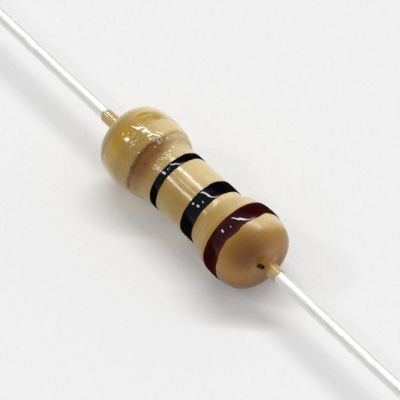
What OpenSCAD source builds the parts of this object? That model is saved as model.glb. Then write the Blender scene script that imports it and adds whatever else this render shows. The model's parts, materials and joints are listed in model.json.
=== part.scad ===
// Axial carbon film resistor with four colour bands.
// The axis runs along X, the brown-band end points to +X, and the origin is the
// middle of the body. Every round piece is drawn as a half section, radius
// against distance along the axis, and spun about that axis.

/* [Ceramic core and film] */
// Diameter of the ceramic rod
core_d = 1.70; // [1.4:0.01:2.4]
// Length of the ceramic rod
core_l = 5.40; // [4.4:0.01:6.6]
// Chamfer on both ends of the rod
core_chamfer = 0.08; // [0.04:0.01:0.12]
// Thickness of the carbon film on the rod
film_t = 0.025; // [0.02:0.001:0.04]
// Turns of the spiral cut that trims the film
trim_turns = 4; // [2:1:7]
// Width of the spiral cut
trim_w = 0.06; // [0.04:0.005:0.09]
// Plain film left between the cut and each cap
trim_margin = 0.30; // [0.15:0.01:0.5]

/* [End caps] */
// Wall and face thickness of the pressed steel caps
cap_wall = 0.18; // [0.12:0.01:0.22]
// Overall length of a cap
cap_l = 1.42; // [1.2:0.01:1.7]
// Radius between the side and the face of a cap
cap_corner_r = 0.25; // [0.15:0.01:0.3]

/* [Leads] */
// Diameter of the tinned wire
lead_d = 0.37; // [0.34:0.01:0.5]
// Length of wire that stands out of the body at each end
lead_l = 26; // [15:0.5:32]
// Chamfer left by the cutter at the tip of the wire
lead_chamfer = 0.05; // [0.02:0.01:0.1]
// How far the foot of the butt weld stands out past the wire
weld_flare = 0.14; // [0.08:0.01:0.2]
// Height of the butt weld above the face of the cap
weld_h = 0.22; // [0.21:0.01:0.25]

/* [Coating] */
// Coating thickness over the film
coat_waist = 0.08; // [0.06:0.005:0.12]
// Coating thickness on the crown over the brown-side cap
coat_crown_brown = 0.165; // [0.13:0.005:0.22]
// Coating thickness on the crown over the gold-side cap
coat_crown_gold = 0.18; // [0.13:0.005:0.22]
// Coating thickness over the face of each cap
coat_face = 0.32; // [0.26:0.01:0.4]
// Coating thickness in front of the rim of each cap
coat_rim = 0.16; // [0.12:0.01:0.22]
// Radius of the barrel curve along each crown
crown_r = 2.35; // [2.1:0.01:3.5]
// Radius between the crown and the end face
end_corner_r = 0.60; // [0.5:0.01:0.7]
// Radius on top of the shoulder beside the waist
shoulder_r = 0.20; // [0.15:0.01:0.25]
// Radius of the hollow between the shoulder and the waist
neck_r = 0.25; // [0.2:0.01:0.35]
// Thickness of the coating that crept along the wire, at the body
creep_t = 0.040; // [0.03:0.005:0.07]
// Thickness of the same skin where it ends
creep_tip_t = 0.015; // [0.01:0.005:0.03]
// How far it crept past the end face on the brown side
creep_l_brown = 0.60; // [0.45:0.01:0.9]
// How far it crept past the end face on the gold side
creep_l_gold = 0.84; // [0.45:0.01:1.1]
// Radius of the hollow where the end face turns up to the wire
creep_fillet_r = 0.20; // [0.12:0.01:0.26]
// Diameter of the pinhole beside the brown-side wire
pinhole_d = 0.20; // [0.12:0.01:0.24]
// How far round from the -Y side it is, towards the top, in degrees
pinhole_turn = 38; // [0:1:90]

/* [Colour bands] */
// Thickness of the paint
band_t = 0.025; // [0.02:0.001:0.04]
// Brown band: distance of its middle from the end face
band_brown_inset = 1.08; // [0.85:0.01:1.35]
// Brown band: width
band_brown_w = 0.56; // [0.35:0.01:0.6]
// First black band: plain waist between it and the brown-side neck
band_black_wide_gap = 0.13; // [0.05:0.01:0.3]
// First black band: width
band_black_wide_w = 0.51; // [0.3:0.01:0.55]
// Second black band: plain waist between it and the gold-side neck
band_black_narrow_gap = 0.31; // [0.05:0.01:0.4]
// Second black band: width
band_black_narrow_w = 0.28; // [0.2:0.01:0.4]
// Gold band: distance of its middle from the end face
band_gold_inset = 0.82; // [0.8:0.01:1.3]
// Gold band: width
band_gold_w = 0.62; // [0.3:0.01:0.64]

/* [Hidden] */
$fn = 96;

// Radii, from the axis outwards
core_radius = core_d / 2;
film_radius = core_radius + film_t;
cap_radius = film_radius + cap_wall;
waist_radius = film_radius + coat_waist;
lead_radius = lead_d / 2;
creep_radius = lead_radius + creep_t;

// Distances from the middle of the body
cap_face_x = core_l / 2 + cap_wall;
cap_rim_x = cap_face_x - cap_l;
cap_middle_x = (cap_face_x + cap_rim_x) / 2;
end_face_x = cap_face_x + coat_face;
shoulder_x = cap_rim_x - coat_rim + shoulder_r;
end_corner_x = end_face_x - end_corner_r;
lead_tip_x = end_face_x + lead_l;

// The spiral cut stops short of both caps
trim_l = 2 * (cap_rim_x - trim_margin);
trim_steps_per_turn = 24;
trim_steps = trim_turns * trim_steps_per_turn;
trim_overcut = 0.03;

// Radius of a crown's top, and of the centre of its barrel curve
function crown_top(coat) = cap_radius + coat;
function crown_centre(coat) = crown_top(coat) - crown_r;

// A round of radius r, centred at distance x, touches the inside of the barrel
// curve: the radius at which its centre lies, and the distance where they touch
function touching_radius(coat, r, x) =
    crown_centre(coat) + sqrt(pow(crown_r - r, 2) - pow(x - cap_middle_x, 2));
function touching_x(r, x) = cap_middle_x + (x - cap_middle_x) * crown_r / (crown_r - r);

// Distance from the middle at which the neck hollow touches both the waist
// and the shoulder round
function neck_x(coat) =
    let (rise = waist_radius + neck_r - touching_radius(coat, shoulder_r, shoulder_x))
    shoulder_x - sqrt(pow(neck_r + shoulder_r, 2) - pow(rise, 2));

// ---- helpers -------------------------------------------------------------

// Spins a half section about the X axis
module spin() { rotate([0, 90, 0]) rotate_extrude() children(); }

// The same piece at the other end of the body
module other_end() { mirror([1, 0, 0]) children(); }

// The part of a half section from radius 0 to r and from x0 to x1
module block(r, x0, x1) { translate([0, x0]) square([r, x1 - x0]); }

// Quarter-round hollow of radius r that leads from a face at x up to a cylinder
module flare(radius, x, r) {
    difference() {
        block(radius + r, x, x + r);
        translate([radius + r, x + r]) circle(r);
    }
}

// ---- half sections -------------------------------------------------------

// What lies under a crown's barrel curve between x0 and x1, with extra paint on it
module crown_section(coat, x0, x1, extra = 0) {
    intersection() {
        translate([crown_centre(coat), cap_middle_x]) circle(crown_r + extra);
        block(crown_top(coat) + extra, x0, x1);
    }
}

// Outer form of one half of the coated body
module body_section(coat, creep_l) {
    shoulder_radius = touching_radius(coat, shoulder_r, shoulder_x);
    corner_radius = touching_radius(coat, end_corner_r, end_corner_x);
    hollow_x = neck_x(coat);
    intersection() {
        block(crown_top(coat), 0, lead_tip_x);
        union() {
            block(waist_radius, 0, shoulder_x);
            // Neck hollow, up to the line between its centre and the shoulder's
            difference() {
                polygon([[0, hollow_x], [waist_radius + neck_r, hollow_x],
                    [shoulder_radius, shoulder_x], [0, shoulder_x]]);
                translate([waist_radius + neck_r, hollow_x]) circle(neck_r);
            }
            translate([shoulder_radius, shoulder_x]) circle(shoulder_r);
            block(shoulder_radius, shoulder_x, end_corner_x);
            crown_section(coat, touching_x(shoulder_r, shoulder_x),
                touching_x(end_corner_r, end_corner_x));
            translate([corner_radius, end_corner_x]) circle(end_corner_r);
            block(corner_radius, end_corner_x, end_face_x);
            creep_section(creep_l);
        }
    }
}

// Skin of coating that crept up the wire, thinning out towards its tip
module creep_section(creep_l) {
    fillet_top_x = end_face_x + creep_fillet_r;
    tip_x = end_face_x + creep_l;
    flare(creep_radius, end_face_x, creep_fillet_r);
    polygon([[0, end_face_x], [creep_radius, end_face_x], [creep_radius, fillet_top_x],
        [lead_radius + creep_tip_t, tip_x], [0, tip_x]]);
}

// Outer form of a cap, with a rounded corner at its face
module cap_form_section() {
    block(cap_radius, cap_rim_x, cap_face_x - cap_corner_r);
    block(cap_radius - cap_corner_r, cap_rim_x, cap_face_x);
    translate([cap_radius - cap_corner_r, cap_face_x - cap_corner_r]) circle(cap_corner_r);
}

// Wire with its butt weld on the cap and its cut tip
module lead_section() {
    polygon([[0, cap_face_x], [lead_radius + weld_flare, cap_face_x],
        [lead_radius, cap_face_x + weld_h], [lead_radius, lead_tip_x - lead_chamfer],
        [lead_radius - lead_chamfer, lead_tip_x], [0, lead_tip_x]]);
}

// Everything that one half of the coating encloses
module inside_section() {
    block(film_radius, 0, cap_rim_x);
    cap_form_section();
    lead_section();
}

// ---- spiral cut ----------------------------------------------------------

// Four corners of the cutter's cross section at step i
function trim_corners(i) =
    let (angle = 360 * i / trim_steps_per_turn,
        x = trim_l * (i / trim_steps - 0.5),
        inner = core_radius - trim_overcut,
        outer = film_radius + trim_overcut,
        half = trim_w / 2)
    [for (c = [[inner, -half], [outer, -half], [outer, half], [inner, half]])
        [c[0] * cos(angle), c[0] * sin(angle), x + c[1]]];

// Cutter that follows a helix through the film
module trim_cutter() {
    points = [for (i = [0:trim_steps]) each trim_corners(i)];
    sides = [for (i = [0:trim_steps - 1]) for (k = [0:3])
        let (a = 4 * i + k, b = 4 * i + (k + 1) % 4) [a, b, b + 4, a + 4]];
    last = 4 * trim_steps;
    polyhedron(points, concat(sides, [[3, 2, 1, 0]],
        [[last, last + 1, last + 2, last + 3]]), convexity = 10);
}

// ---- sub-parts -----------------------------------------------------------

module ceramic_core() {
    end_x = core_l / 2;
    side_x = end_x - core_chamfer;
    end_radius = core_radius - core_chamfer;
    color("white") spin()
        polygon([[0, -end_x], [end_radius, -end_x], [core_radius, -side_x],
            [core_radius, side_x], [end_radius, end_x], [0, end_x]]);
}

module carbon_film() {
    film_l = core_l - 2 * core_chamfer;
    color("dimgray") rotate([0, 90, 0]) difference() {
        cylinder(r = film_radius, h = film_l, center = true);
        cylinder(r = core_radius, h = film_l + 1, center = true);
        trim_cutter();
    }
}

module cap() {
    color("lightsteelblue") spin() difference() {
        cap_form_section();
        block(film_radius, cap_rim_x - 1, core_l / 2);
    }
}
module cap_brown_side() { cap(); }
module cap_gold_side() { other_end() cap(); }

module lead() { color("silver") spin() lead_section(); }
module lead_brown_side() { lead(); }
module lead_gold_side() { other_end() lead(); }

module coating_half(coat, creep_l) {
    spin() difference() {
        body_section(coat, creep_l);
        inside_section();
    }
}

module coating() {
    // The pinhole sits where the end face starts to turn up to the wire
    pinhole_radius = creep_radius + creep_fillet_r / 2;
    color("burlywood") difference() {
        union() {
            coating_half(coat_crown_brown, creep_l_brown);
            other_end() coating_half(coat_crown_gold, creep_l_gold);
        }
        rotate([-pinhole_turn, 0, 0])
            translate([end_face_x + creep_fillet_r / 4, -pinhole_radius, 0])
                sphere(d = pinhole_d);
    }
}

// Paint ring on the straight waist
module waist_band(middle_x, width) {
    spin() difference() {
        block(waist_radius + band_t, middle_x - width / 2, middle_x + width / 2);
        block(waist_radius, middle_x - width, middle_x + width);
    }
}

// Paint ring on a crown
module crown_band(coat, middle_x, width) {
    x0 = middle_x - width / 2;
    x1 = middle_x + width / 2;
    spin() difference() {
        crown_section(coat, x0, x1, band_t);
        crown_section(coat, x0 - width, x1 + width);
    }
}

module band_brown() {
    color("#4a1418")
        crown_band(coat_crown_brown, end_face_x - band_brown_inset, band_brown_w);
}

module band_black_wide() {
    middle_x = neck_x(coat_crown_brown) - band_black_wide_gap - band_black_wide_w / 2;
    color("#17151f") waist_band(middle_x, band_black_wide_w);
}

module band_black_narrow() {
    middle_x = neck_x(coat_crown_gold) - band_black_narrow_gap - band_black_narrow_w / 2;
    color("#17151f") other_end() waist_band(middle_x, band_black_narrow_w);
}

module band_gold() {
    color("#c8963a") other_end()
        crown_band(coat_crown_gold, end_face_x - band_gold_inset, band_gold_w);
}

ceramic_core();
carbon_film();
cap_brown_side();
cap_gold_side();
lead_brown_side();
lead_gold_side();
coating();
band_brown();
band_black_wide();
band_black_narrow();
band_gold();
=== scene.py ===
# %% [markdown]
# # Axial resistor
#
# A quarter-watt carbon film resistor: a dog-bone body dipped in tan lacquer, four
# painted rings round it, and a stiff tinned wire out of each end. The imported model
# gives every dimension. This lesson builds the finer skins that the eye sees, gives
# each one a finish made of nodes, and lights them on a pale sheet.
#
# The brown ring is at the +X end, the gold ring at the -X end, and +Z is up.

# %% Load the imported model
import json
import math

import bpy
import numpy as np
from mathutils import Matrix, Vector

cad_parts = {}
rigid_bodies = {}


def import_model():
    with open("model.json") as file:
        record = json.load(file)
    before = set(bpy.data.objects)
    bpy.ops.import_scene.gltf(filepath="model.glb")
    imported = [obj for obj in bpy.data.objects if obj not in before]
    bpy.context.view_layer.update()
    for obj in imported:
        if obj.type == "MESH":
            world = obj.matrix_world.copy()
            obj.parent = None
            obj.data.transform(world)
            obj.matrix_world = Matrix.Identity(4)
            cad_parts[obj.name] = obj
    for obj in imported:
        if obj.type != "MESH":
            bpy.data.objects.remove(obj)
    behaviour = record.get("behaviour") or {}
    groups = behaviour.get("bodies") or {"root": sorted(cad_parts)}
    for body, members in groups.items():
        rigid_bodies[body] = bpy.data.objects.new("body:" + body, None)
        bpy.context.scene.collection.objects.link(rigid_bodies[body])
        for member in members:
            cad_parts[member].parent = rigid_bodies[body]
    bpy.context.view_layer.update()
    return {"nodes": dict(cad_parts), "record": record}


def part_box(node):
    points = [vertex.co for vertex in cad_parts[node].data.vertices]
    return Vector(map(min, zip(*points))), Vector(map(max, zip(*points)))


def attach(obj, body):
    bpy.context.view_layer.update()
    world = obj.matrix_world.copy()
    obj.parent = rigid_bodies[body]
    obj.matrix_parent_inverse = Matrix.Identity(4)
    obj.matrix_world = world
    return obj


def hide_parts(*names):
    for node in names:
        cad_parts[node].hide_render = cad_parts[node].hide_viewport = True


for leftover in list(bpy.data.objects):
    bpy.data.objects.remove(leftover)
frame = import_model()
print("packed nodes:", ", ".join(sorted(frame["nodes"])))

# %% [markdown]
# ## Sizes
#
# Blender works in metres, but a part this small reads best in millimetres, so the
# half sections below are written in millimetres and scaled once, when a mesh is made.
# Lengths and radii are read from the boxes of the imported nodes. Only what a box can't
# tell is written here, such as the rounds of the lacquer and where its shoulder is.

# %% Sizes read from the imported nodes, in millimetres
MM = 0.001


def corner(packed):
    """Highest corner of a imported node, in millimetres: (x, y, z)."""
    return np.array(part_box(packed)[1]) / MM


film_radius = corner("carbon_film")[2]
cap_radius = corner("cap_brown_side")[2]
cap_face_x = corner("cap_brown_side")[0]
cap_rim_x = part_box("cap_brown_side")[0].x / MM
wire_radius = frame["record"]["mounts"][0]["dims"]["r_mm"]
wire_tip_x = corner("lead_brown_side")[0]
weld_radius = corner("lead_brown_side")[2]
brown_creep_x = corner("coating")[0]
gold_creep_x = -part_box("coating")[0].x / MM
PAINT = 0.025  # thickness of a packed ring of paint
brown_crown_top = corner("band_brown")[2] - PAINT
gold_crown_top = corner("band_gold")[2] - PAINT
waist_radius = corner("band_black_wide")[2] - PAINT
print(f"waist {waist_radius:.3f}, crowns {brown_crown_top:.3f} and {gold_crown_top:.3f} mm")

# %% Rounds of the lacquer, in millimetres
CROWN_ROUND = 2.35  # barrel curve along each crown
END_ROUND = 0.60  # between the crown and the end face
SHOULDER_ROUND = 0.20  # top of the step down to the waist
NECK_ROUND = 0.25  # foot of that step
ROOT_ROUND = 0.20  # where the end face turns up to the wire
CREEP = 0.040  # skin on the wire, at the body
CREEP_TIP = 0.015  # the same skin where it ends
CREEP_LIP = 0.01  # length of the slope that ends it
END_FACE_X = 3.20
SHOULDER_X = 1.50
STEP = 0.026  # between points along a half section
COARSE_STEP = 0.2  # the same where it is hidden, or straight and far from the body
SLIVER = 0.002  # points nearer than this become one
end_corner_x = END_FACE_X - END_ROUND
cap_middle_x = (cap_face_x + cap_rim_x) / 2
bore = wire_radius - 0.002  # a little tight, so that no gap shows round the wire

# %% [markdown]
# ## Half sections
#
# The body is a turned form, so one line drawn from tip to tip says all of it:
# straight waist, hollow neck, rounded shoulder, barrel crown, end round, end face,
# and the thin skin that crept up the wire while the lacquer was wet. Each round
# touches the next one, so the arcs are worked out from their centres instead of
# being typed in as points.


# %% Arcs and lines of a half section
def arc(centre, radius, start, end, spacing=STEP):
    """Points along an arc in the (x, radius) plane, from angle start to angle end."""
    count = max(3, round(abs(end - start) * radius / spacing))
    return [
        (centre[0] + radius * math.cos(a), centre[1] + radius * math.sin(a))
        for a in np.linspace(start, end, count)
    ]


def line(start, end, spacing=STEP):
    """Points along a straight piece of a half section."""
    length = math.dist(start, end)
    count = max(2, round(length / spacing) + 1)
    return [tuple(p) for p in np.linspace(start, end, count)]


def heading(start, end):
    """Angle of the direction from one point of a half section to another."""
    return math.atan2(end[1] - start[1], end[0] - start[0])


# %% One half of the lacquer, from the middle of the waist out to its tip on the wire
def lacquer_half(crown_top, creep_x):
    crown_centre = (cap_middle_x, crown_top - CROWN_ROUND)

    def inside_crown(radius, x):
        """Centre of a round that touches the crown's barrel curve from inside."""
        reach = math.sqrt((CROWN_ROUND - radius) ** 2 - (x - cap_middle_x) ** 2)
        return (x, crown_centre[1] + reach)

    shoulder = inside_crown(SHOULDER_ROUND, SHOULDER_X)
    end_corner = inside_crown(END_ROUND, end_corner_x)
    rise = waist_radius + NECK_ROUND - shoulder[1]
    neck_x = SHOULDER_X - math.sqrt((NECK_ROUND + SHOULDER_ROUND) ** 2 - rise**2)
    neck = (neck_x, waist_radius + NECK_ROUND)
    root = (END_FACE_X + ROOT_ROUND, wire_radius + CREEP + ROOT_ROUND)
    to_shoulder = heading(neck, shoulder)
    points = line((0, waist_radius), (neck_x, waist_radius))
    points += arc(neck, NECK_ROUND, -math.pi / 2, to_shoulder)
    crown_start = heading(crown_centre, shoulder)
    crown_end = heading(crown_centre, end_corner)
    points += arc(shoulder, SHOULDER_ROUND, to_shoulder + math.pi, crown_start)
    points += arc(crown_centre, CROWN_ROUND, crown_start, crown_end)
    points += arc(end_corner, END_ROUND, crown_end, 0)
    points += line((END_FACE_X, end_corner[1]), (END_FACE_X, root[1]))
    points += arc(root, ROOT_ROUND, math.pi, 1.5 * math.pi, STEP / 2)
    creep_end = (creep_x - CREEP_LIP, wire_radius + CREEP_TIP)
    points += line((root[0], wire_radius + CREEP), creep_end)
    points += [(creep_x, wire_radius + CREEP_TIP / 2), (creep_x, bore)]
    kept = [points[0]]
    for point in points[1:]:
        if math.dist(point, kept[-1]) > SLIVER:
            kept.append(point)
    return kept


brown_half = lacquer_half(brown_crown_top, brown_creep_x)
gold_half = lacquer_half(gold_crown_top, gold_creep_x)
print(f"lacquer half sections: {len(brown_half)} and {len(gold_half)} points")

# %% [markdown]
# ## Writing node trees in a script
#
# Geometry Nodes and shaders are both trees of nodes, and a script can write either.
# A few helpers keep that short: one adds a node and feeds its inputs, and the others
# are the everyday nodes for sums, masks, noise and colour mixes. An input takes a
# plain value, or the output of another node.


# %% Helpers that add nodes and links
def socket(sockets, key):
    """The socket with that name, or at that place among the ones in use."""
    live = [s for s in sockets if s.enabled]
    return live[key] if isinstance(key, int) else next(s for s in live if s.name == key)


def feed(tree, value, target):
    """Links an output to an input, or writes a plain value in it."""
    if isinstance(value, bpy.types.Node):
        value = socket(value.outputs, 0)
    if isinstance(value, bpy.types.NodeSocket):
        tree.links.new(value, target)
    else:
        target.default_value = value


def node(tree, kind, values=None, **modes):
    """Adds a node, sets its modes, and feeds its inputs by name or by place."""
    made = tree.nodes.new(kind)
    for mode, choice in modes.items():
        setattr(made, mode, choice)
    for key, value in (values or {}).items():
        feed(tree, value, socket(made.inputs, key))
    # Laid out in rows of twelve
    row, column = divmod(len(tree.nodes) - 1, 12)
    made.location = (240 * column, -320 * row)
    return made


# %% Everyday nodes: sums
def calc(tree, operation, *values):
    """A sum on numbers."""
    return node(tree, "ShaderNodeMath", dict(enumerate(values)), operation=operation)


def times(tree, first, second):
    """The product of two numbers."""
    return calc(tree, "MULTIPLY", first, second)


def times_add(tree, first, second, third):
    """The product of two numbers, and a third added to it."""
    return calc(tree, "MULTIPLY_ADD", first, second, third)


def vector(tree, operation, *values):
    """A sum on vectors."""
    return node(tree, "ShaderNodeVectorMath", dict(enumerate(values)), operation=operation)


def split(tree, whole):
    """The X, Y and Z of a vector."""
    return node(tree, "ShaderNodeSeparateXYZ", {0: whole}).outputs


def join(tree, **parts):
    """A vector from its X, Y and Z. What isn't given is 0."""
    return node(tree, "ShaderNodeCombineXYZ", parts)


# %% Everyday nodes: masks, noise and mixes
def remap(tree, value, low, high, to_low=0.0, to_high=1.0):
    """A smooth step: to_low where value is at low, to_high where it is at high."""
    places = dict(enumerate((value, low, high, to_low, to_high)))
    return node(tree, "ShaderNodeMapRange", places, interpolation_type="SMOOTHSTEP")


def noise(tree, where, scale, detail=2.0, roughness=0.5):
    """Soft random values round 0.5 that change over space."""
    values = {"Vector": where, "Scale": scale, "Detail": detail, "Roughness": roughness}
    return node(tree, "ShaderNodeTexNoise", values)


def centred_noise(tree, where, scale, detail=2.0, roughness=0.5):
    """Soft random values round 0."""
    return calc(tree, "SUBTRACT", noise(tree, where, scale, detail, roughness), 0.5)


def mix(tree, factor, first, second):
    """Blends two colours."""
    values = {"Factor": factor, "A": first, "B": second}
    return node(tree, "ShaderNodeMix", values, data_type="RGBA")


# %% Helpers for whole trees, and for objects
SOCKETS = {
    "geometry": "NodeSocketGeometry",
    "number": "NodeSocketFloat",
    "count": "NodeSocketInt",
    "vector": "NodeSocketVector",
    "colour": "NodeSocketColor",
    "object": "NodeSocketObject",
    "material": "NodeSocketMaterial",
}


def new_group(name, kind, inputs, outputs):
    """An empty node group with named inputs and outputs, and its sockets for both."""
    tree = bpy.data.node_groups.new(name, kind)
    for label, form in inputs.items():
        tree.interface.new_socket(label, in_out="INPUT", socket_type=SOCKETS[form])
    for label, form in outputs.items():
        tree.interface.new_socket(label, in_out="OUTPUT", socket_type=SOCKETS[form])
    given = node(tree, "NodeGroupInput").outputs
    return tree, given, node(tree, "NodeGroupOutput").inputs


def new_tree(name, inputs, result="Skin"):
    """A geometry tree that takes a finish too, and gives one shape."""
    inputs = {**inputs, "Finish": "material"}
    return new_group(name, "GeometryNodeTree", inputs, {result: "geometry"})


def close_tree(tree, given, end, shape):
    """Ends a geometry tree in plain faces that all have the finish."""
    shape = node(tree, "GeometryNodeRealizeInstances", {"Geometry": shape})
    values = {"Geometry": shape, "Material": given["Finish"]}
    feed(tree, node(tree, "GeometryNodeSetMaterial", values), end[0])


def run_tree(piece, tree, finish, settings):
    """Puts a geometry tree on a piece and sets its inputs, by their identifiers."""
    modifier = piece.modifiers.new(tree.name, "NODES")
    modifier.node_group = tree
    settings = {"Finish": finish, **settings}
    for item in tree.interface.items_tree:
        if item.in_out == "INPUT" and item.name in settings:
            modifier[item.identifier] = settings[item.name]


def new_object(name, data):
    """An object at the origin, in the scene."""
    thing = bpy.data.objects.new(name, data)
    bpy.context.scene.collection.objects.link(thing)
    return thing


def freeze(piece):
    """Turns what the trees made into the piece's own plain mesh."""
    shape = piece.evaluated_get(bpy.context.evaluated_depsgraph_get())
    mesh = bpy.data.meshes.new_from_object(shape)
    piece.modifiers.clear()
    piece.data = mesh
    mesh.name = piece.name
    print(f"{piece.name}: {len(mesh.vertices)} points, {len(mesh.polygons)} faces")


# %% [markdown]
# ## Turning a half section into a skin
#
# The lacquer and the wires are turned forms, so one geometry tree serves them all.
# It lays a grid whose rows are the points of the half section and whose columns go
# once round the axis, bends it into the round form, and merges the seam. Real dipped
# lacquer is never perfectly round, so the tree then pushes the surface in and out
# along its normal, by a broad swell and a finer ripple. How much of each is stored on
# the points of the half section, so a crown can be lumpier than the waist. A Screw
# modifier would turn the line as well, but it can't vary the lumps along it.

# %% Waves to a millimetre in the two kinds of unevenness
WAVES = {"swell": 0.9, "ripple": 6.0}
SEAM_GAP = 1e-8  # in metres


# %% Parts of a tree that both turned skins and paint rings need
def wrapped_grid(tree, rows, around):
    """A grid to wrap once round the axis, each point's row, and its angle."""
    columns = calc(tree, "ADD", around, 1.0)
    grid = node(tree, "GeometryNodeMeshGrid", {"Vertices X": rows, "Vertices Y": columns})
    index = node(tree, "GeometryNodeInputIndex")
    row = calc(tree, "FLOOR", calc(tree, "DIVIDE", index, columns))
    turn = calc(tree, "DIVIDE", calc(tree, "MODULO", index, columns), around)
    return grid, row, times(tree, turn, math.tau)


def merge_seam(tree, shape):
    """Joins the grid's edges where they have come together."""
    values = {"Geometry": shape, "Distance": SEAM_GAP}
    return node(tree, "GeometryNodeMergeByDistance", values)


# %% Tree: spun skin
def spun_skin_tree():
    inputs = {"Half section": "geometry", "Around": "count"}
    tree, given, end = new_tree("Spun skin", inputs)
    outline = given["Half section"]
    size = node(tree, "GeometryNodeAttributeDomainSize", {"Geometry": outline})
    rows = size.outputs["Point Count"]
    grid, row, angle = wrapped_grid(tree, rows, given["Around"])

    def from_outline(value, data_type):
        """A value of the half section's point that this row stands for."""
        values = {"Geometry": outline, "Value": value, "Index": row}
        return node(tree, "GeometryNodeSampleIndex", values, data_type=data_type)

    here = node(tree, "GeometryNodeInputPosition")
    place = split(tree, from_outline(here, "FLOAT_VECTOR"))
    across = times(tree, place["Z"], calc(tree, "COSINE", angle))
    upward = times(tree, place["Z"], calc(tree, "SINE", angle))
    round_place = join(tree, X=place["X"], Y=across, Z=upward)
    shape = grid
    for amount in WAVES:
        known = node(tree, "GeometryNodeInputNamedAttribute", {"Name": amount})
        values = {"Geometry": shape, "Name": amount, "Value": from_outline(known, "FLOAT")}
        shape = node(tree, "GeometryNodeStoreNamedAttribute", values, domain="POINT")
    values = {"Geometry": shape, "Position": round_place}
    shape = merge_seam(tree, node(tree, "GeometryNodeSetPosition", values))
    where = vector(tree, "SCALE", here, 1 / MM)
    push = 0.0
    for amount, scale in WAVES.items():
        wave = centred_noise(tree, where, scale, 1.0)
        known = node(tree, "GeometryNodeInputNamedAttribute", {"Name": amount})
        push = times_add(tree, wave, known, push)
    offset = vector(tree, "SCALE", node(tree, "GeometryNodeInputNormal"), push)
    shape = node(tree, "GeometryNodeSetPosition", {"Geometry": shape, "Offset": offset})
    for amount in WAVES:
        values = {"Geometry": shape, "Name": amount}
        shape = node(tree, "GeometryNodeRemoveAttribute", values)
    shape = node(tree, "GeometryNodeSetShadeSmooth", {"Geometry": shape})
    close_tree(tree, given, end, shape)
    return tree


spun_skin = spun_skin_tree()
print("spun skin tree:", len(spun_skin.nodes), "nodes")

# %% [markdown]
# ## Small dents and slow bends
#
# Three more trees change a skin that is already there. One pushes a small round patch
# in, for the pinhole beside the wire's root and for the nick that the reel's tape left
# on each wire. One lets a wire wander off its straight line a little, growing from nothing at
# the root, as a wire does that has been on a reel. The last one pulls the two rims of
# the lacquer on the wires out of line, so that the skin ends raggedly there. Each could
# be sculpted by hand, but a tree does the same again at every run and on every piece.


# %% Parts that these three trees share
def move_skin(tree, given, end, offset):
    """Ends a tree by moving the points of its skin."""
    values = {"Geometry": given["Skin"], "Offset": offset}
    close_tree(tree, given, end, node(tree, "GeometryNodeSetPosition", values))


def past_root(tree, given, x, run):
    """How far x is from the middle, and a mask that grows along run from the root."""
    along = calc(tree, "ABSOLUTE", x)
    grown = calc(tree, "ADD", given["Root"], run)
    return along, remap(tree, along, given["Root"], grown)


# %% Tree: dent
def dent_tree():
    inputs = {"Skin": "geometry", "Middle": "vector", "Reach": "number", "Push": "vector"}
    tree, given, end = new_tree("Dent", inputs)
    here = node(tree, "GeometryNodeInputPosition")
    far = vector(tree, "DISTANCE", here, given["Middle"])
    share = remap(tree, far, given["Reach"], 0.0)
    move_skin(tree, given, end, vector(tree, "SCALE", given["Push"], share))
    return tree


# %% Tree: wander
WANDER_RUN = 6 * MM  # over which it grows from nothing
BENDS = 140.0  # to a metre


def wander_tree():
    inputs = {"Skin": "geometry", "Root": "number", "Amount": "number", "Seed": "number"}
    tree, given, end = new_tree("Wander", inputs)
    x = split(tree, node(tree, "GeometryNodeInputPosition"))["X"]
    along, share = past_root(tree, given, x, WANDER_RUN)
    amount = times(tree, share, given["Amount"])
    # Sideways and upwards read the noise in two places, so they differ
    sides = []
    for shift in (0.0, 5.0):
        seed = calc(tree, "ADD", given["Seed"], shift)
        where = vector(tree, "MULTIPLY", join(tree, X=along, Y=seed), (BENDS, 1.0, 1.0))
        wave = centred_noise(tree, where, 1.0, 0.0)
        sides.append(times(tree, wave, amount))
    move_skin(tree, given, end, join(tree, Y=sides[0], Z=sides[1]))
    return tree


# %% Tree: ragged tips
RAGGED_RUN = 0.3 * MM


def ragged_tips_tree():
    inputs = {"Skin": "geometry", "Root": "number", "Amount": "number"}
    tree, given, end = new_tree("Ragged tips", inputs)
    here = node(tree, "GeometryNodeInputPosition")
    x = split(tree, here)["X"]
    _, share = past_root(tree, given, x, RAGGED_RUN)
    wave = noise(tree, vector(tree, "SCALE", here, 1 / MM), 5.0, 1.0)
    # Less than the noise's mean of 0.5, so that most of the rim is pulled back
    back = calc(tree, "SUBTRACT", 0.4, wave)
    back = times(tree, times(tree, back, calc(tree, "SIGN", x)), given["Amount"])
    move_skin(tree, given, end, join(tree, X=times(tree, back, share)))
    return tree


dent, wander, ragged_tips = dent_tree(), wander_tree(), ragged_tips_tree()
for tree in (dent, wander, ragged_tips):
    print(f"{tree.name} tree: {len(tree.nodes)} nodes")

# %% [markdown]
# ## Paint rings
#
# The colour rings are paint rolled on while the body turns, so they lie on the lacquer
# whatever its shape, their two edges run slightly uneven, and the film is fattest in
# the middle and thins out at the edges. The tree draws a closed flat oval as the cross
# section, takes it once round, and drops every point on the lacquer with a raycast. A
# soft ripple in the film's height breaks up what the gloss reflects. A Shrinkwrap
# modifier could lay a plain ring down too, but not give it such a film and edges.

# %% Inputs of the paint ring tree
RING_INPUTS = {
    "Skin": "geometry",
    "Lacquer": "object",
    **dict.fromkeys(("Middle", "Width", "Thickness", "Ripple", "Ripple seed"), "number"),
    **dict.fromkeys(("Inner wobble", "Outer wobble", "Seed"), "number"),
    "Around": "count",
    "Across": "count",
}
CLEAR = 3 * MM  # from the axis: well outside the lacquer


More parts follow.
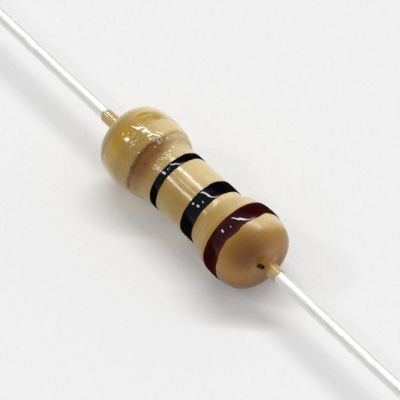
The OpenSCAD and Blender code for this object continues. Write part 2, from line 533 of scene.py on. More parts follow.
# %% Tree: paint ring
def paint_ring_tree():
    tree, given, end = new_tree("Paint ring", RING_INPUTS, "Ring")
    rows = calc(tree, "ADD", given["Across"], 1.0)
    grid, row, angle = wrapped_grid(tree, rows, given["Around"])
    out_y, out_z = calc(tree, "COSINE", angle), calc(tree, "SINE", angle)
    outward = join(tree, Y=out_y, Z=out_z)
    # The two uneven edges
    edges = []
    for shift, wobble in ((0.0, given["Inner wobble"]), (9.0, given["Outer wobble"])):
        seed = calc(tree, "ADD", given["Seed"], shift)
        where = join(tree, X=seed, Y=out_y, Z=out_z)
        wave = centred_noise(tree, where, 2.1, 2.0, 0.4)
        edges.append(times(tree, wave, wobble))
    # The flat oval, from the +X edge over the top and back underneath. Powers below 1
    # make it squarer than an ellipse.
    turn = times(tree, calc(tree, "DIVIDE", row, given["Across"]), math.tau)
    oval = []
    for operation, power in (("COSINE", 0.8), ("SINE", 0.6)):
        wave = calc(tree, operation, turn)
        size = calc(tree, "POWER", calc(tree, "ABSOLUTE", wave), power)
        oval.append(times(tree, size, calc(tree, "SIGN", wave)))
    half = times(tree, given["Width"], 0.5)
    share = times_add(tree, oval[0], 0.5, 0.5)
    drift = node(tree, "ShaderNodeMix", {"Factor": share, "A": edges[0], "B": edges[1]})
    x = times_add(tree, oval[0], half, given["Middle"])
    x = calc(tree, "ADD", x, drift)
    # Down to the lacquer, then out by the film's height there
    origin = vector(tree, "ADD", join(tree, X=x), vector(tree, "SCALE", outward, CLEAR))
    lacquer_shape = node(tree, "GeometryNodeObjectInfo", {"Object": given["Lacquer"]})
    ray = {
        "Target Geometry": lacquer_shape.outputs["Geometry"],
        "Source Position": origin,
        "Ray Direction": vector(tree, "SCALE", outward, -1.0),
        "Ray Length": CLEAR,
    }
    found = node(tree, "GeometryNodeRaycast", ray, mapping="NEAREST")
    foot = found.outputs["Hit Position"]
    shifted = join(tree, X=given["Seed"], Y=given["Ripple seed"])
    shifted = vector(tree, "ADD", shifted, vector(tree, "SCALE", foot, 1 / MM))
    wave = times(tree, centred_noise(tree, shifted, 3.6), given["Ripple"])
    wave = times(tree, wave, calc(tree, "MAXIMUM", oval[1], 0.0))
    height = times_add(tree, oval[1], given["Thickness"], wave)
    place = vector(tree, "ADD", foot, vector(tree, "SCALE", outward, height))
    shape = node(tree, "GeometryNodeSetPosition", {"Geometry": grid, "Position": place})
    values = {"Geometry": shape, "Name": "across", "Value": oval[0]}
    shape = node(tree, "GeometryNodeStoreNamedAttribute", values, domain="POINT")
    shape = merge_seam(tree, shape)
    shape = node(tree, "GeometryNodeSetShadeSmooth", {"Geometry": shape})
    close_tree(tree, given, end, shape)
    return tree


paint_ring = paint_ring_tree()
print("paint ring tree:", len(paint_ring.nodes), "nodes")

# %% [markdown]
# ## Effects that several finishes share
#
# Some effects turn up on more than one finish: the soft mottle of a hand-mixed
# lacquer, the orange peel of anything that dried wet, and the fine lines that a
# drawing die leaves along metal. Each one is a shader node group, built once, that
# gives out only a colour, a shade or a height. The shaders stay in the materials.
#
# Every group reads the place on the piece in millimetres, which is the Object
# coordinate scaled up by a Mapping node.


# %% Groups: mottle, orange peel, drawing lines
def mottle_group():
    inputs = {"Place": "vector", "Scale": "number", "Contrast": "number"}
    tree, given, end = new_group("Mottle", "ShaderNodeTree", inputs, {"Shade": "number"})
    cloud = centred_noise(tree, given["Place"], given["Scale"], 5.0, 0.6)
    shade = times_add(tree, cloud, given["Contrast"], 1.0)
    feed(tree, shade, end["Shade"])
    return tree


def orange_peel_group():
    inputs = {"Place": "vector", "Scale": "number"}
    tree, given, end = new_group("Orange peel", "ShaderNodeTree", inputs, {"Height": "number"})
    broad = noise(tree, given["Place"], given["Scale"], 1.0)
    finer = times(tree, given["Scale"], 3.1)
    fine = noise(tree, given["Place"], finer, 1.0)
    height = times_add(tree, fine, 0.25, broad)
    feed(tree, height, end["Height"])
    return tree


def drawing_lines_group():
    inputs = {"Place": "vector", "Fineness": "number"}
    tree, given, end = new_group("Drawing lines", "ShaderNodeTree", inputs, {"Height": "number"})
    stretched = vector(tree, "MULTIPLY", given["Place"], (0.05, 1.0, 1.0))
    lines = noise(tree, stretched, given["Fineness"], 4.0, 0.65)
    feed(tree, lines, end["Height"])
    return tree


mottle = mottle_group()
orange_peel = orange_peel_group()
drawing_lines = drawing_lines_group()
print("shared shader groups:", mottle.name, orange_peel.name, drawing_lines.name)

# %% [markdown]
# ## The lacquer's colour
#
# The tan isn't one colour. It is deeper on its lower front side and paler on top, which
# is painted shade. It is browner over the brown end, where the lacquer is thicker, with
# painted shade low on the end and in a patch beside the wire, while its top is kept pale
# as painted light, and it is almost clear on the wires. Beside the gold end's shoulder
# the brown on the slope and the dark line in the crease are partly stain and dirt and
# partly painted shade, round the brown end's shoulder lies a painted highlight, and the
# pinhole holds painted shade. The gold paint is so thin that the same lacquer shows
# through it, so the colour is a group that both finishes use. A painted image could say
# all this too, but masks made from the place on the piece stay sharp however near one is.
#
# Colours are written as they look on a screen, from 0 to 1, and turned into the linear
# values that Blender mixes.


# %% Tans and browns of the lacquer
def tone(red, green, blue):
    """A linear colour from values as they look on a screen."""
    linear = [
        c / 12.92 if c <= 0.04045 else ((c + 0.055) / 1.055) ** 2.4
        for c in (red, green, blue)
    ]
    return (*linear, 1.0)


# Several of these colours stand for light: the second (a deeper tan) and the fourth (a dark
# brown) are painted shade, the fifth and sixth are partly painted shade, the seventh is also a
# painted highlight, and the ninth is painted shade in the pinhole.
TANS = {
    "Pale tan": tone(0.88, 0.79, 0.58),
    "Deep tan": tone(0.66, 0.52, 0.23),
    "End tan": tone(0.66, 0.47, 0.17),
    "End brown": tone(0.46, 0.27, 0.02),
    "Stain": tone(0.51, 0.31, 0.03),
    "Crease": tone(0.38, 0.24, 0.07),
    "Thin skin": tone(0.77, 0.66, 0.44),
    "Burnt": tone(0.70, 0.42, 0.15),
    "Hole": tone(0.10, 0.05, 0.04),
}

# %% Places on the lacquer, in millimetres, and directions across it
PINHOLE = ((3.215, -0.29, 0.22), (3.25, -0.25, 0.18), (3.28, -0.21, 0.145))
PIT_DEPTH = (-0.06, 0.02, -0.015)
ROOT_SPOT = (3.33, 0.0, 0.27)
# Middle of the painted shade on the brown end's face
DOME_SHADE_SPOT = (3.0, -0.52, 0.74)
BROWN_SHOULDER_MIDDLE_X = 1.45
CREASE_X = -1.58
# Along the axis: where each starts to show, and where it shows in full
BROWN_END = (2.0, 2.55)
STAIN_AND_SHADE_FADING = (-0.95, -1.4)
STAIN_AND_SHADE_EDGE = (-1.63, -1.55)
THIN_SKIN = (3.32, 3.60)
# Directions across the axis: the lower front side that gets painted shade, the brown end's top
# that is kept pale as painted light, and the sides where the brown stain and the crease line,
# both partly painted shade, are strongest
SHADED_SIDE = (0.0, -0.85, 0.52)
LIT_TOP_SIDE = (0.0, 0.6, 0.8)
UPPER_SIDE = (0.0, -0.574, 0.819)
DIRT_AND_SHADE_SIDE = (0.0, -0.819, 0.574)


def near(tree, place, middle, rim, core):
    """A round mask: nothing past rim from the middle, full within core."""
    return remap(tree, vector(tree, "DISTANCE", place, middle), rim, core)


# %% Group: lacquer colour
def lacquer_colour_group():
    inputs = {"Place": "vector", **dict.fromkeys(TANS, "colour")}
    outputs = {"Colour": "colour", "Dirt": "number"}
    tree, given, end = new_group("Lacquer colour", "ShaderNodeTree", inputs, outputs)
    place = given["Place"]
    here = split(tree, place)
    x = here["X"]
    drift = centred_noise(tree, place, 1.3, 3.0)
    uneven = times_add(tree, drift, 0.25, x)

    def side(toward, low, high, to_low=0.0):
        """How far a place lies to one side of the axis, as a mask."""
        far = vector(tree, "DOT_PRODUCT", place, toward)
        return remap(tree, times_add(tree, drift, 0.6, far), low, high, to_low)

    # Painted shade: deeper on the lower front side, so that the top looks paler
    painted_side_shade = side(SHADED_SIDE, 0.1, 1.05)
    colour = mix(tree, painted_side_shade, given["Pale tan"], given["Deep tan"])
    # Browner over the brown end, where the lacquer is thicker, but kept paler on its top as
    # painted light
    lower_x = times_add(tree, side(LIT_TOP_SIDE, 0.5, 1.2), -0.6, uneven)
    colour = mix(tree, remap(tree, lower_x, *BROWN_END), colour, given["End tan"])
    # Painted shade: darker towards the bottom of the brown end
    painted_low_shade = remap(tree, here["Z"], 0.3, -0.5, 0.0, 0.75)
    painted_low_shade = times(tree, painted_low_shade, remap(tree, uneven, *BROWN_END))
    colour = mix(tree, painted_low_shade, colour, given["End brown"])
    # Painted shade: a dark patch on the brown end's face beside the wire
    painted_dome_shade = near(tree, place, DOME_SHADE_SPOT, 0.95, 0.1)
    colour = mix(tree, painted_dome_shade, colour, given["End brown"])
    # Faint turned lines on the brown side's shoulder
    drawn_out = vector(tree, "MULTIPLY", place, (11.0, 0.5, 0.5))
    turned = times(tree, centred_noise(tree, drawn_out, 1.0, 1.0), 0.45)
    beside = calc(tree, "ABSOLUTE", calc(tree, "SUBTRACT", x, BROWN_SHOULDER_MIDDLE_X))
    turned = times(tree, turned, remap(tree, beside, 0.5, 0.3))
    colour = vector(tree, "SCALE", colour, calc(tree, "ADD", turned, 1.0))
    # A painted highlight: paler all round the brown side's shoulder
    painted_shoulder_highlight = times(tree, remap(tree, beside, 0.4, 0.1), 0.3)
    colour = mix(tree, painted_shoulder_highlight, colour, given["Thin skin"])
    # Brown below the gold side's shoulder, fading along the waist: partly a stain, partly painted
    # shade on the slope
    stain_and_shade = times(tree, remap(tree, uneven, *STAIN_AND_SHADE_FADING), remap(tree, uneven, *STAIN_AND_SHADE_EDGE))
    stain_and_shade = times(tree, stain_and_shade, side(UPPER_SIDE, 0.5, 1.1, 0.25))
    colour = mix(tree, stain_and_shade, colour, given["Stain"])
    # Dark line in the crease itself: partly dirt, partly painted shade
    ragged = centred_noise(tree, place, 9.0, 3.0, 0.6)
    away = calc(tree, "ADD", times_add(tree, ragged, 0.12, uneven), -CREASE_X)
    along_it = remap(tree, calc(tree, "ABSOLUTE", away), 0.12, 0.0)
    broken = remap(tree, noise(tree, place, 1.1, 3.0, 0.6), 0.3, 0.55)
    crease_dirt_and_shade = times(tree, along_it, broken)
    crease_dirt_and_shade = times(tree, crease_dirt_and_shade, side(DIRT_AND_SHADE_SIDE, 0.2, 1.0, 0.3))
    colour = mix(tree, crease_dirt_and_shade, colour, given["Crease"])
    # The skin on the wires is so thin that the bright metal lights it from below
    on_wire = remap(tree, calc(tree, "ABSOLUTE", x), *THIN_SKIN)
    colour = mix(tree, on_wire, colour, given["Thin skin"])
    # Burnt orange where the skin is pulled thin at the brown end's wire
    pulled = near(tree, place, ROOT_SPOT, 0.14, 0.02)
    colour = mix(tree, pulled, colour, given["Burnt"])
    # Painted shade inside the pinhole
    pinhole_shade = 0.0
    for pit in PINHOLE:
        floor = tuple(v + 0.5 * sunk for v, sunk in zip(pit, PIT_DEPTH))
        pinhole_shade = calc(tree, "MAXIMUM", pinhole_shade, near(tree, place, floor, 0.11, 0.05))
    colour = mix(tree, pinhole_shade, colour, given["Hole"])
    # The dirt and the painted shade together, which dull the gloss
    dirt_and_shade = calc(tree, "MAXIMUM", times_add(tree, stain_and_shade, 0.5, crease_dirt_and_shade), pinhole_shade)
    feed(tree, dirt_and_shade, end["Dirt"])
    feed(tree, colour, end["Colour"])
    return tree


lacquer_colour = lacquer_colour_group()
print("lacquer colour group:", len(lacquer_colour.nodes), "nodes")

# %% [markdown]
# ## Finishes
#
# Each material starts from the same short recipe: the place in millimetres, the
# colour from groups, and a Bump node fed by a height. What differs is the numbers.


# %% Helpers for materials
def new_finish(name, **constants):
    """A material, its Principled BSDF's inputs, and the place on the piece in mm."""
    finish = bpy.data.materials.new(name)
    finish.use_nodes = True
    tree = finish.node_tree
    tree.nodes["Principled BSDF"].location = (3200, 0)
    tree.nodes["Material Output"].location = (3500, 0)
    shader = tree.nodes["Principled BSDF"].inputs
    for setting, value in constants.items():
        shader[setting.replace("_", " ")].default_value = value
    where = node(tree, "ShaderNodeTexCoord").outputs["Object"]
    where = node(tree, "ShaderNodeMapping", {"Vector": where, "Scale": (1 / MM,) * 3})
    return finish, tree, shader, where


def use_group(tree, group, where, **values):
    """Places a node group in a material with its own values."""
    made = node(tree, "ShaderNodeGroup", node_tree=group)
    for key, value in {"Place": where, **values}.items():
        feed(tree, value, made.inputs[key])
    return made


def bump(tree, shader, height, depth):
    """Fine relief of that depth in millimetres."""
    values = {"Height": height, "Distance": depth * MM}
    feed(tree, node(tree, "ShaderNodeBump", values), shader["Normal"])


def gloss(tree, shader, weight, slanted):
    """A clear coat of that weight where it is seen squarely, and less at a slant."""
    # Facing goes from 0 for a face seen squarely to 1 for one seen edge on
    slant = node(tree, "ShaderNodeLayerWeight", {"Blend": 0.5}).outputs["Facing"]
    share = remap(tree, slant, 0.18, 0.30, 1.0, slanted)
    feed(tree, times(tree, share, weight), shader["Coat Weight"])


def mottled(tree, where, colour, scale, contrast):
    """A colour that the mottle makes lighter and darker from place to place."""
    shade = use_group(tree, mottle, where, Scale=scale, Contrast=contrast)
    plain = colour[:3] if isinstance(colour, tuple) else colour
    return vector(tree, "SCALE", plain, shade)


# %% [markdown]
# The lacquer is a cloudy tan under a gloss of its own. It is wet-looking where it is
# thick, satin on the waist, and dull where the dirt and the painted shade lie, so the
# clear coat's weight and the roughness both change along it, which one plain glossy
# shader could not show.


# %% Lacquer
def lacquer_finish():
    finish, tree, shader, where = new_finish(
        "tan_lacquer", Specular_IOR_Level=0.46, Coat_Roughness=0.10
    )
    skin = use_group(tree, lacquer_colour, where, **TANS)
    colour = mottled(tree, where, skin.outputs["Colour"], 7.0, 0.32)
    feed(tree, colour, shader["Base Color"])
    # Wettest on the gold end, softer on the brown end, and dull where the dirt and painted shade
    # lie
    along = split(tree, where)["X"]
    clean_and_unshaded = calc(tree, "SUBTRACT", 1.0, skin.outputs["Dirt"])
    gold_side = remap(tree, along, -0.8, -1.2)
    brown_side = remap(tree, along, 0.9, 1.1)
    dome = remap(tree, along, 1.5, 1.9)
    crown = remap(tree, along, -1.5, -1.7)
    wet = times_add(tree, crown, 0.6, 0.2)
    wet = times_add(tree, brown_side, -0.2, wet)
    gloss(tree, shader, times(tree, wet, clean_and_unshaded), 0.35)
    rough = times_add(tree, gold_side, -0.10, 0.22)
    rough = times_add(tree, dome, 0.05, rough)
    feed(tree, rough, shader["Roughness"])
    # A pebbly skin, strongest round the gold end's neck and shoulder
    pebbles = noise(tree, where, 8.0, 0.0)
    beside = calc(tree, "ABSOLUTE", calc(tree, "ADD", along, 1.4))
    pebbly = times_add(tree, remap(tree, beside, 0.6, 0.2), 1.6, gold_side)
    peel = use_group(tree, orange_peel, where, Scale=7.0)
    peel = times(tree, peel, 0.1)
    bump(tree, shader, times_add(tree, pebbles, pebbly, peel), 0.016)
    return finish


tan_lacquer = lacquer_finish()
print("finish:", tan_lacquer.name)

# %% [markdown]
# The brown and black rings are thick gloss enamel. Where the film thins out at its
# edges the lacquer glows through, so the colour turns redder there. The ring's own
# `across` attribute, from -1 at one edge to 1 at the other, says how near an edge is.


# %% Enamel for the brown and black rings
def enamel_finish(name, thick, thin):
    finish, tree, shader, where = new_finish(
        name, Roughness=0.5, Specular_IOR_Level=0.0, Coat_Roughness=0.035
    )
    gloss(tree, shader, 0.66, 0.03)
    across = node(tree, "ShaderNodeAttribute", attribute_name="across").outputs["Fac"]
    near_edge = calc(tree, "ABSOLUTE", across)
    patchy = centred_noise(tree, where, 3.0, 3.0)
    near_edge = times_add(tree, patchy, 0.5, near_edge)
    colour = mix(tree, remap(tree, near_edge, 0.40, 1.10), thick, thin)
    feed(tree, mottled(tree, where, colour, 4.0, 0.5), shader["Base Color"])
    peel = use_group(tree, orange_peel, where, Scale=9.0)
    bump(tree, shader, peel, 0.008)
    return finish


brown_enamel = enamel_finish("brown_enamel", tone(0.17, 0.02, 0.03), tone(0.31, 0.07, 0.07))
black_enamel = enamel_finish("black_enamel", tone(0.02, 0.015, 0.035), tone(0.06, 0.045, 0.08))
print("finishes:", brown_enamel.name, black_enamel.name)

# %% [markdown]
# The gold ring is a thin wash of bronze powder in varnish. It only took in patches, with
# the brush's streaks in them, so its finish starts as bare lacquer and adds ochre and a
# few bright flakes where the powder settled. The places of the patches on the upper
# side are written out, and noise chooses them underneath.


# %% Where the gold settled, in millimetres: middle and reach
GOLD_PATCHES = (
    ((-2.44, 0.20, 1.20), 0.42),
    ((-2.26, 0.52, 1.10), 0.42),
    ((-2.42, -0.52, 1.10), 0.44),
    ((-2.46, -1.00, 0.68), 0.46),
    ((-2.44, -1.18, 0.32), 0.44),
)


# %% Gold wash
def gold_finish():
    finish, tree, shader, where = new_finish(
        "gold_wash", Specular_IOR_Level=0.35, Coat_Weight=0.8, Coat_Roughness=0.10, Roughness=0.12
    )
    across = node(tree, "ShaderNodeAttribute", attribute_name="across").outputs["Fac"]
    inside = remap(tree, calc(tree, "ABSOLUTE", across), 0.99, 0.70)
    bare = use_group(tree, lacquer_colour, where, **TANS).outputs["Colour"]
    bare = mottled(tree, where, bare, 6.0, 0.28)
    settled = remap(tree, noise(tree, where, 1.5, 4.0, 0.6), 0.40, 0.50)
    above = vector(tree, "DOT_PRODUCT", where, UPPER_SIDE)
    settled = times(tree, settled, remap(tree, above, 0.3, -0.3))
    for middle, reach in GOLD_PATCHES:
        settled = calc(tree, "MAXIMUM", settled, near(tree, where, middle, reach, 0.3 * reach))
    brushed = noise(tree, vector(tree, "MULTIPLY", where, (9.0, 1.5, 1.5)), 1.0, 3.0, 0.6)
    settled = times(tree, settled, remap(tree, brushed, 0.30, 0.52, 0.25, 1.0))
    settled = times(tree, settled, inside)
    ochre = mottled(tree, where, tone(0.72, 0.57, 0.05), 15.0, 0.9)
    colour = mix(tree, settled, bare, ochre)
    flakes = node(tree, "ShaderNodeTexVoronoi", {"Vector": where, "Scale": 16.0})
    flake = remap(tree, flakes.outputs["Distance"], 0.22, 0.10)
    flake = times(tree, flake, settled)
    colour = mix(tree, flake, colour, tone(0.93, 0.80, 0.42))
    feed(tree, colour, shader["Base Color"])
    feed(tree, times(tree, flake, 0.7), shader["Metallic"])
    bump(tree, shader, noise(tree, where, 8.0, 0.0), 0.016)
    return finish


gold_wash = gold_finish()
print("finish:", gold_wash.name)

# %% [markdown]
# The wires and the caps are bright tin over metal. Tin is soft, so it scuffs: the
# roughness wanders, and drawing lines run along the wire.


# %% Tinned metal
SCUFF = 0.16  # how much rougher it is where it is worn


def tinned_finish(name, colour, fineness, relief, roughness):
    finish, tree, shader, where = new_finish(name, Metallic=0.9)
    feed(tree, mottled(tree, where, colour, 5.0, 0.10), shader["Base Color"])
    scuff = noise(tree, where, 2.6, 4.0, 0.6)
    worn = remap(tree, scuff, 0.35, 0.7, roughness, roughness + SCUFF)
    feed(tree, worn, shader["Roughness"])
    lines = use_group(tree, drawing_lines, where, Fineness=fineness)
    bump(tree, shader, lines, relief)
    return finish


bright_tin = tinned_finish("bright_tin", tone(0.96, 0.96, 0.945), 22.0, 0.008, 0.5)
cap_tin = tinned_finish("cap_tin", tone(0.80, 0.80, 0.79), 9.0, 0.006, 0.30)
print("finishes:", bright_tin.name, cap_tin.name)

# %% [markdown]
# The ceramic rod and its carbon film are inside, and show only where the model is
# taken apart. The rod is fired and matt, with a grain; the film is a dark grey skin.


# %% Ceramic and carbon
def matt_finish(name, colour, roughness, scale, contrast, relief):
    finish, tree, shader, where = new_finish(name, Roughness=roughness)
    feed(tree, mottled(tree, where, colour, scale, contrast), shader["Base Color"])
    grain = use_group(tree, orange_peel, where, Scale=scale * 2)
    bump(tree, shader, grain, relief)
    return finish


fired_ceramic = matt_finish("fired_ceramic", tone(0.93, 0.92, 0.89), 0.75, 9.0, 0.10, 0.008)
carbon_skin = matt_finish("carbon_skin", tone(0.16, 0.16, 0.17), 0.45, 12.0, 0.35, 0.003)
for name, finish in (
    ("ceramic_core", fired_ceramic),
    ("carbon_film", carbon_skin),
    ("cap_brown_side", cap_tin),
    ("cap_gold_side", cap_tin),
):
    frame["nodes"][name].data.materials[0] = finish
    print(f"{name}: {finish.name}")

# %% [markdown]
# ## The lacquered body
#
# The half sections of the two ends join at the middle of the waist. The inside of the
# shell follows what it encloses: the wires, the caps and the film. Listed from the
# brown tip to the gold tip and back inside, the line closes on itself, and its faces
# point outwards.


# %% Building a turned piece
def turned_piece(name, outline, swell, ripple, around, finish):
    """A piece spun from (x, radius) points, with its swell and ripple in mm."""
    mesh = bpy.data.meshes.new(name)
    mesh.from_pydata([(x * MM, 0, radius * MM) for x, radius in outline], [], [])
    for label, amounts in zip(WAVES, (swell, ripple)):
        stored = mesh.attributes.new(label, "FLOAT", "POINT")
        stored.data.foreach_set("value", np.array(amounts, np.float32) * MM)
    piece = new_object(name, mesh)
    run_tree(piece, spun_skin, finish, {"Around": around})
    return piece


def hand_over(piece, packed):
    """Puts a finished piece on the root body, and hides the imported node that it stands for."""
    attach(piece, "root")
    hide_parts(packed)


# %% The lacquer's outline, outside and inside
CAP_ROUND = 0.25
CAP_SIDE_X = cap_face_x - 0.4  # the straight side starts a little past the round
cap_corner = (cap_face_x - CAP_ROUND, cap_radius - CAP_ROUND)
brown_inside = [
    (cap_face_x, bore),
    *arc(cap_corner, CAP_ROUND, 0, math.pi / 2, 0.06),
    *line((CAP_SIDE_X, cap_radius), (cap_rim_x, cap_radius), COARSE_STEP),
    *line((cap_rim_x, film_radius), (0, film_radius), COARSE_STEP),
]
inside = [*[(-x, r) for x, r in brown_inside], *reversed(brown_inside)]
outside = [*reversed(brown_half), *[(-x, r) for x, r in gold_half[1:]]]
shell = [*outside, *inside, outside[0]]
print(f"lacquer outline: {len(outside)} points outside, {len(inside)} inside")


# %% How lumpy the lacquer is along its length: x and amount, in millimetres
# Broad unevenness is more on the thick crowns than on the thin waist
SWELL = ([-4.1, -3.2, -2.2, -1.2, 0, 1.2, 2.2, 3.2, 3.8],
         [0.01, 0.05, 0.06, 0.04, 0.02, 0.04, 0.05, 0.05, 0.01])
# Fine unevenness is most where the gold end's shoulder meets the waist
RIPPLE = ([-4.1, -2.4, -1.7, -1.0, -0.5, 1.5, 3.2, 3.8],
          [0.003, 0.014, 0.020, 0.020, 0.004, 0.004, 0.006, 0.003])
BODY_SIDES = 200
outside_x = [x for x, _ in outside]
# The inside, and the point that closes the outline, stay smooth
smooth = [0.0] * (len(inside) + 1)
swells = [*np.interp(outside_x, *SWELL), *smooth]
ripples = [*np.interp(outside_x, *RIPPLE), *smooth]
body = turned_piece("lacquer_body", shell, swells, ripples, BODY_SIDES, tan_lacquer)

# %% The pinhole beside the brown end's wire, and the ragged rims
for pit in PINHOLE:
    places = {"Middle": [v * MM for v in pit], "Push": [v * MM for v in PIT_DEPTH]}
    run_tree(body, dent, tan_lacquer, {"Reach": 0.09 * MM, **places})
run_tree(body, ragged_tips, tan_lacquer, {"Root": 3.45 * MM, "Amount": 0.25 * MM})
freeze(body)
hand_over(body, "coating")

# %% [markdown]
# ## The rings
#
# Each ring is one run of the paint ring tree, with its place and width taken from the
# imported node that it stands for. It needs the finished lacquer, because it lies on it.


# %% Building a ring
def ring_piece(name, packed, slot, finish, seeds, **sizes):
    """A ring with the seeds of its edges and its ripple, and its sizes in mm."""
    low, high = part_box(packed)
    piece = new_object(name, bpy.data.meshes.new(name))
    settings = {
        "Lacquer": body,
        "Middle": (low.x + high.x) / 2,
        "Width": high.x - low.x,
        "Seed": seeds[0],
        "Ripple seed": seeds[1],
        "Around": 240,
        "Across": 44,
    }
    settings.update({key.replace("_", " "): size * MM for key, size in sizes.items()})
    run_tree(piece, paint_ring, finish, settings)
    freeze(piece)
    hand_over(piece, packed)


# %% Four rings
ring_piece("ring_brown", "band_brown", "paint_brown", brown_enamel, (2.0, 8.0),
           Thickness=0.022, Ripple=0.016, Inner_wobble=0.05, Outer_wobble=0.22)
ring_piece("ring_black_wide", "band_black_wide", "paint_black", black_enamel, (4.6, 6.0),
           Thickness=0.022, Ripple=0.016, Inner_wobble=0.07, Outer_wobble=0.07)
ring_piece("ring_black_narrow", "band_black_narrow", "paint_black", black_enamel, (6.0, 11.0),
           Thickness=0.020, Ripple=0.016, Inner_wobble=0.05, Outer_wobble=0.05)
ring_piece("ring_gold", "band_gold", "paint_gold", gold_wash, (8.0, 0.0),
           Thickness=0.010, Ripple=0.004, Inner_wobble=0.16, Outer_wobble=0.16)

# %% [markdown]
# ## The wires
#
# Each wire is turned too: a cone of weld at the cap, a long straight shank, and a
# small chamfer where it was cut. It is stiff, so it isn't a cord: it only wanders by a
# few hundredths of a millimetre, with a nick where the tape held it. A curve with a
# bevel would be quicker, but it has neither the cone nor the chamfer.

# %% The brown side's wire, from the cut tip in to the cap
WELD_HEIGHT = 0.22
CUT_CHAMFER = 0.05
FINE_STEP = 0.07  # near the body, where dents and bends are seen
FINE_END_X = 13.9
COARSE_END_X = 14.0
wire_outline = [
    (wire_tip_x, 0.0),
    (wire_tip_x, wire_radius - CUT_CHAMFER),
    *line((wire_tip_x - CUT_CHAMFER, wire_radius), (COARSE_END_X, wire_radius), COARSE_STEP),
    *line((FINE_END_X, wire_radius), (cap_face_x + WELD_HEIGHT, wire_radius), FINE_STEP),
    (cap_face_x, weld_radius),
    (cap_face_x, 0.0),
]
print(f"wire outline: {len(wire_outline)} points")


# %% Building a wire
WIRE_SIDES = 32
WIRE_SWELL = 0.004  # on the shank only, and half as much ripple


def wire_piece(name, packed, outline, seed, nick_x):
    swell = [WIRE_SWELL if radius == wire_radius else 0.0 for _, radius in outline]
    ripple = [amount / 2 for amount in swell]
    piece = turned_piece(name, outline, swell, ripple, WIRE_SIDES, bright_tin)
    sway = {"Root": 4.3 * MM, "Amount": 0.16 * MM, "Seed": seed}
    nick = {"Middle": (nick_x * MM, 0.0, 0.2 * MM), "Reach": 0.3 * MM}
    run_tree(piece, wander, bright_tin, sway)
    run_tree(piece, dent, bright_tin, {**nick, "Push": (0, 0, -0.02 * MM)})
    freeze(piece)
    hand_over(piece, packed)


wire_piece("wire_brown", "lead_brown_side", wire_outline, 3.0, 7.6)
mirrored = [(-x, radius) for x, radius in reversed(wire_outline)]
wire_piece("wire_gold", "lead_gold_side", mirrored, 12.0, -7.35)

# %% [markdown]
# ## The stage
#
# A sheet of pale paper, a pale surround that is dimmer past the gold end, and three
# lamps: a long narrow strip high on the far side, a small round one lower on the near
# side, and a tiny one between them that sparks in the gloss. Each lamp's strength
# is given as the share of light that it lends a white card lying on the sheet. With the
# surround they come to about 1 together, so the colours render as they are written.

# %% Paper
PAPER_REACH = 3.0
PAPER_WHITE = tone(0.955, 0.955, 0.955)
GLOW_SHARE = 0.12


def paper_finish():
    finish, tree, shader, where = new_finish("white_paper", Roughness=0.7, Specular_IOR_Level=0.2)
    feed(tree, mottled(tree, where, PAPER_WHITE, 5.0, 0.05), shader["Base Color"])
    fibres = use_group(tree, orange_peel, where, Scale=9.0)
    bump(tree, shader, fibres, 0.012)
    # A pale backdrop for the eye and for reflections, which keeps the shadow
    path = node(tree, "ShaderNodeLightPath").outputs
    seen = calc(tree, "MAXIMUM", path["Is Camera Ray"], path["Is Glossy Ray"])
    seen = calc(tree, "MAXIMUM", seen, path["Is Transmission Ray"])
    glow = node(tree, "ShaderNodeEmission", {"Color": PAPER_WHITE})
    blend = node(tree, "ShaderNodeMixShader", {0: times(tree, seen, GLOW_SHARE)})
    feed(tree, tree.nodes["Principled BSDF"], blend.inputs[1])
    feed(tree, glow, blend.inputs[2])
    feed(tree, blend, tree.nodes["Material Output"].inputs["Surface"])
    return finish


mesh = bpy.data.meshes.new("paper_sheet")
corners = [(x * PAPER_REACH, y * PAPER_REACH, -gold_crown_top * MM)
           for x, y in ((-1, -1), (1, -1), (1, 1), (-1, 1))]
mesh.from_pydata(corners, [], [(0, 1, 2, 3)])
sheet = new_object("paper_sheet", mesh)
mesh.materials.append(paper_finish())
print(f"paper: {gold_crown_top:.3f} mm below the axis, under the larger crown")

# %% Surround: pale round the horizon, dimmer overhead and past the gold end
GOLD_END_GREY = (0.24, 0.24, 0.25, 1.0)
BROWN_END_GREY = (0.68, 0.68, 0.68, 1.0)
HORIZON_GREY = (0.60, 0.60, 0.60, 1.0)
world = bpy.data.worlds.new("pale_room")
world.use_nodes = True
bpy.context.scene.world = world
sky = world.node_tree
where = node(sky, "ShaderNodeTexCoord").outputs["Generated"]
height = split(sky, where)["Z"]
brown_end = remap(sky, vector(sky, "DOT_PRODUCT", where, (1.0, 0.1, 0.0)), -0.7, 0.7)
room = mix(sky, brown_end, GOLD_END_GREY, BROWN_END_GREY)
colour = mix(sky, remap(sky, height, 0.06, 0.24), HORIZON_GREY, room)
feed(sky, colour, sky.nodes["Background"].inputs["Color"])
print("surround:", len(sky.nodes), "nodes")

# %% Lamps
LAMP_DISTANCE = 2.0


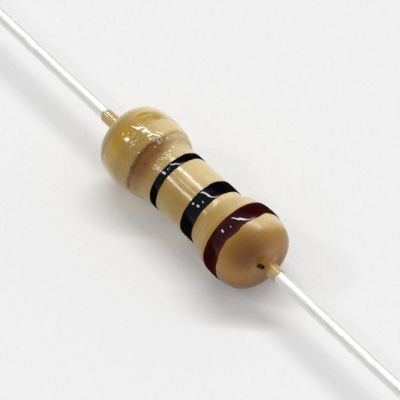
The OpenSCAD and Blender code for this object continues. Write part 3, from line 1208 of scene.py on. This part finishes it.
def softbox(name, toward, long_way, width_deg, length_deg, share, shape="ELLIPSE"):
    """A flat lamp in a direction, turned so that its long side follows long_way."""
    toward = Vector(toward).normalized()
    along = Vector(long_way)
    along = (along - along.dot(toward) * toward).normalized()
    short = toward.cross(along)
    lamp = bpy.data.lights.new(name, "AREA")
    lamp.shape = shape
    lamp.size = 2 * LAMP_DISTANCE * math.tan(math.radians(width_deg / 2))
    lamp.size_y = 2 * LAMP_DISTANCE * math.tan(math.radians(length_deg / 2))
    # A card facing a lamp of W watts at d metres gets the share W / (pi * d) ** 2, and
    # one that lies flat gets toward.z of that
    lamp.energy = math.pi**2 * share * LAMP_DISTANCE**2 / toward.z
    turned = Matrix((short, along, toward)).transposed()
    place = Matrix.LocRotScale(toward * LAMP_DISTANCE, turned, None)
    new_object(name, lamp).matrix_world = place
    print(f"{name}: {lamp.energy:.1f} W")


softbox("strip_lamp", (-0.33, 0.34, 0.88), (0.60, 0.58, 0.0), 4, 52, 0.50, "RECTANGLE")
softbox("side_lamp", (-0.49, -0.54, 0.68), (1, 0, 0), 7.5, 7.5, 0.055)
softbox("small_lamp", (-0.47, -0.26, 0.84), (1, 0, 0), 2.5, 2.5, 0.012)

# %% [markdown]
# ## The camera
#
# It stands 130 mm from the body with a long lens, as for a close-up of so small a
# thing, so the two ends look nearly the same size. A shorter lens from nearby would
# stretch the near end. It looks down at 51 degrees, from the brown end's near side.

# %% Camera
AZIMUTH, ELEVATION = math.radians(50.13), math.radians(51.50)
DISTANCE = 129.95 * MM
AIM = Vector((0.158, 0.090, -0.050)) * MM
camera = new_object("camera", bpy.data.cameras.new("camera"))
bpy.context.scene.camera = camera
back = Vector((
    math.sin(AZIMUTH) * math.cos(ELEVATION),
    -math.cos(AZIMUTH) * math.cos(ELEVATION),
    math.sin(ELEVATION),
))
camera.location = AIM + back * DISTANCE
camera.rotation_mode = "QUATERNION"
camera.rotation_quaternion = (-back).to_track_quat("-Z", "Y")
camera.data.lens = 407.8
camera.data.sensor_width = 36.0
camera.data.clip_start = 0.01
bpy.context.scene.view_settings.view_transform = "Standard"
print(f"camera: {camera.data.lens} mm lens, {DISTANCE / MM:.0f} mm away")
